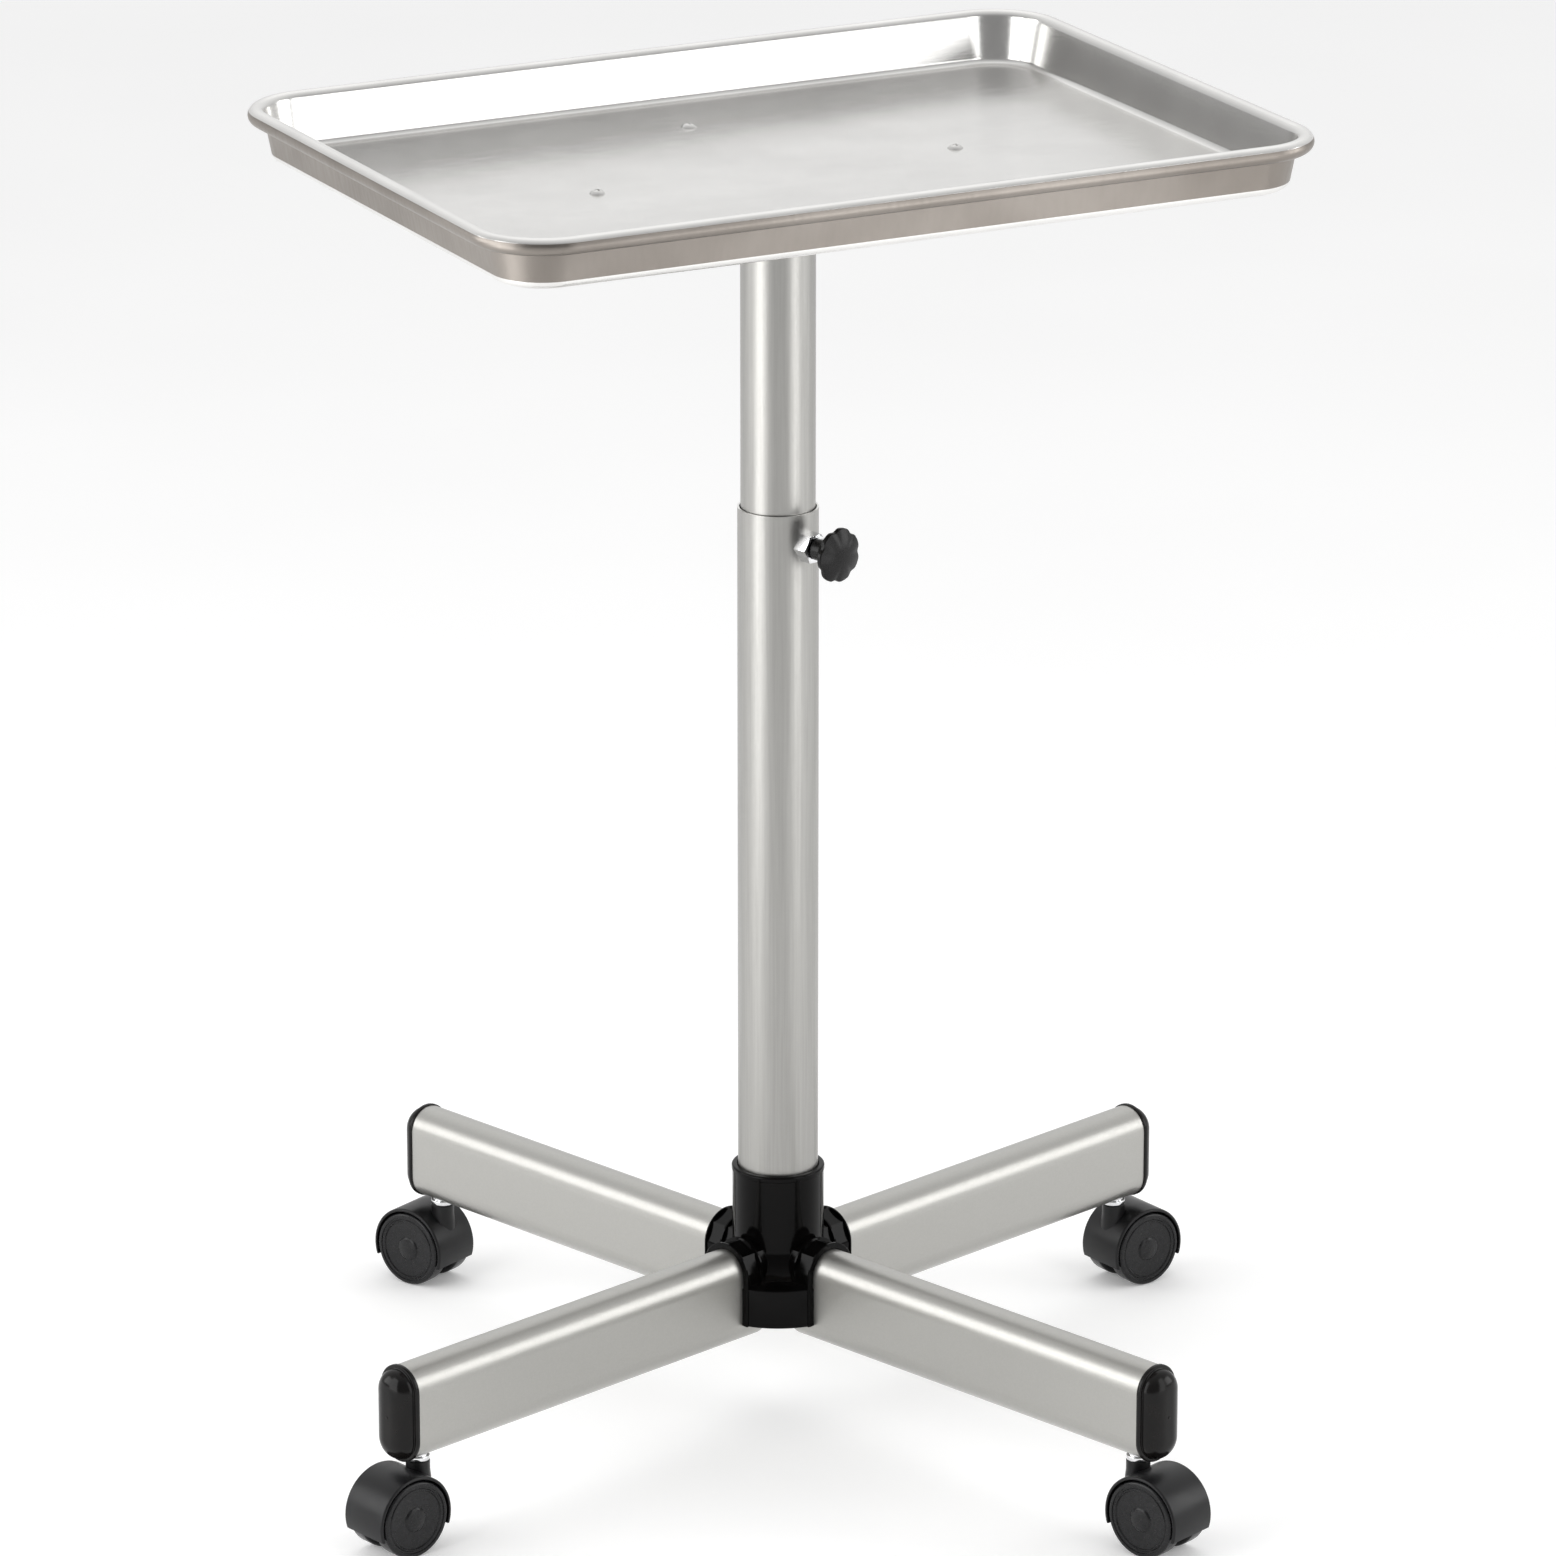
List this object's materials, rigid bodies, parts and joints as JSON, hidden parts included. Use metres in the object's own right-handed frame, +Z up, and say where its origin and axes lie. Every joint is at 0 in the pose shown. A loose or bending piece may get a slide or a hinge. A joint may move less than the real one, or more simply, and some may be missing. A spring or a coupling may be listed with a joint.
{
  "type": "rolling tray cart",
  "caption": "Rectangular metal tray with a rolled edge on a height-adjustable round column, clamped by a side knob, over a cross base with hooded swivel casters.",
  "frame": {"origin": "on the floor, on the axis of the column", "axes": "+Z up along the column, +X along the tray's long side, +Y across the tray; the base's front faces 27 degrees clockwise of -Y seen from above"},
  "size_m": [0.5607, 0.5621, 0.69],
  "materials": {
    "tray_aluminium": "satin rolled sheet",
    "silver_coat": "silver metallic powder coat",
    "hub_plastic": "gloss black moulding",
    "cap_plastic": "gloss black moulding",
    "caster_plastic": "satin black moulding",
    "wheel_plastic": "satin black moulding",
    "knob_plastic": "fine textured black moulding",
    "chrome_plate": "bright plating",
    "zinc_steel": "zinc plated",
    "nylon": "natural nylon"
  },
  "bodies": {
    "base": {"hub": "hub_plastic", "outer_tube": "silver_coat", "column_bolt": "zinc_steel", "clamp_nut": "chrome_plate", "leg_rear_right": "silver_coat", "leg_rear_left": "silver_coat", "leg_front_left": "silver_coat", "leg_front_right": "silver_coat", "end_cap_rear_right": "cap_plastic", "end_cap_rear_left": "cap_plastic", "end_cap_front_left": "cap_plastic", "end_cap_front_right": "cap_plastic", "caster_stem_rear_right": "chrome_plate", "caster_stem_rear_left": "chrome_plate", "caster_stem_front_left": "chrome_plate", "caster_stem_front_right": "chrome_plate"},
    "glide": {"glide_bush": "nylon"},
    "mast": {"inner_tube": "silver_coat", "mast_socket": "zinc_steel", "tray_spider": "zinc_steel", "tray": "tray_aluminium", "tray_screws": "zinc_steel"},
    "clamp_pad": {"clamp_pad": "nylon"},
    "clamp_knob": {"clamp_screw": "zinc_steel", "clamp_knob": "knob_plastic"},
    "caster_rear_right": {"caster_hood_rear_right": "caster_plastic", "caster_axle_rear_right": "zinc_steel"},
    "wheel_a_rear_right": {"wheel_a_rear_right": "wheel_plastic"},
    "wheel_b_rear_right": {"wheel_b_rear_right": "wheel_plastic"},
    "caster_rear_left": {"caster_hood_rear_left": "caster_plastic", "caster_axle_rear_left": "zinc_steel"},
    "wheel_a_rear_left": {"wheel_a_rear_left": "wheel_plastic"},
    "wheel_b_rear_left": {"wheel_b_rear_left": "wheel_plastic"},
    "caster_front_left": {"caster_hood_front_left": "caster_plastic", "caster_axle_front_left": "zinc_steel"},
    "wheel_a_front_left": {"wheel_a_front_left": "wheel_plastic"},
    "wheel_b_front_left": {"wheel_b_front_left": "wheel_plastic"},
    "caster_front_right": {"caster_hood_front_right": "caster_plastic", "caster_axle_front_right": "zinc_steel"},
    "wheel_a_front_right": {"wheel_a_front_right": "wheel_plastic"},
    "wheel_b_front_right": {"wheel_b_front_right": "wheel_plastic"}
  },
  "joints": [
    {"name": "height_slide", "type": "slide", "parent": "base", "child": "glide", "axis": [0, 0, 1], "range_m": [-0.12, 0.23]},
    {"name": "tray_swivel", "type": "hinge", "parent": "glide", "child": "mast", "pos_m": [0, 0, 0.6], "axis": [0, 0, 1], "continuous": true},
    {"name": "clamp_travel", "type": "slide", "parent": "base", "child": "clamp_pad", "axis": [0.309, -0.9511, 0], "range_m": [0, 0.00313]},
    {"name": "knob_turn", "type": "hinge", "parent": "clamp_pad", "child": "clamp_knob", "pos_m": [0.00927, -0.02853, 0.472], "axis": [0.309, -0.9511, 0], "range_deg": [0, 900]},
    {"name": "caster_swivel_rear_right", "type": "hinge", "parent": "base", "child": "caster_rear_right", "pos_m": [0.24252, 0.0788, 0.04], "axis": [0, 0, 1], "continuous": true},
    {"name": "wheel_a_spin_rear_right", "type": "hinge", "parent": "caster_rear_right", "child": "wheel_a_rear_right", "pos_m": [0.25532, 0.08106, 0.02], "axis": [-0.1736, 0.9848, 0], "continuous": true},
    {"name": "wheel_b_spin_rear_right", "type": "hinge", "parent": "caster_rear_right", "child": "wheel_b_rear_right", "pos_m": [0.25532, 0.08106, 0.02], "axis": [-0.1736, 0.9848, 0], "continuous": true},
    {"name": "caster_swivel_rear_left", "type": "hinge", "parent": "base", "child": "caster_rear_left", "pos_m": [-0.0788, 0.24252, 0.04], "axis": [0, 0, 1], "continuous": true},
    {"name": "wheel_a_spin_rear_left", "type": "hinge", "parent": "caster_rear_left", "child": "wheel_a_rear_left", "pos_m": [-0.0845, 0.2542, 0.02], "axis": [-0.8988, -0.4384, 0], "continuous": true},
    {"name": "wheel_b_spin_rear_left", "type": "hinge", "parent": "caster_rear_left", "child": "wheel_b_rear_left", "pos_m": [-0.0845, 0.2542, 0.02], "axis": [-0.8988, -0.4384, 0], "continuous": true},
    {"name": "caster_swivel_front_left", "type": "hinge", "parent": "base", "child": "caster_front_left", "pos_m": [-0.24252, -0.0788, 0.04], "axis": [0, 0, 1], "continuous": true},
    {"name": "wheel_a_spin_front_left", "type": "hinge", "parent": "caster_front_left", "child": "wheel_a_front_left", "pos_m": [-0.25513, -0.08194, 0.02], "axis": [0.2419, -0.9703, 0], "continuous": true},
    {"name": "wheel_b_spin_front_left", "type": "hinge", "parent": "caster_front_left", "child": "wheel_b_front_left", "pos_m": [-0.25513, -0.08194, 0.02], "axis": [0.2419, -0.9703, 0], "continuous": true},
    {"name": "caster_swivel_front_right", "type": "hinge", "parent": "base", "child": "caster_front_right", "pos_m": [0.0788, -0.24252, 0.04], "axis": [0, 0, 1], "continuous": true},
    {"name": "wheel_a_spin_front_right", "type": "hinge", "parent": "caster_front_right", "child": "wheel_a_front_right", "pos_m": [0.08367, -0.25457, 0.02], "axis": [0.9272, 0.3746, 0], "continuous": true},
    {"name": "wheel_b_spin_front_right", "type": "hinge", "parent": "caster_front_right", "child": "wheel_b_front_right", "pos_m": [0.08367, -0.25457, 0.02], "axis": [0.9272, 0.3746, 0], "continuous": true}
  ],
  "couplings": [
    {"joint": "knob_turn", "follows": "clamp_travel", "rad_per_m": 5026.5}
  ]
}
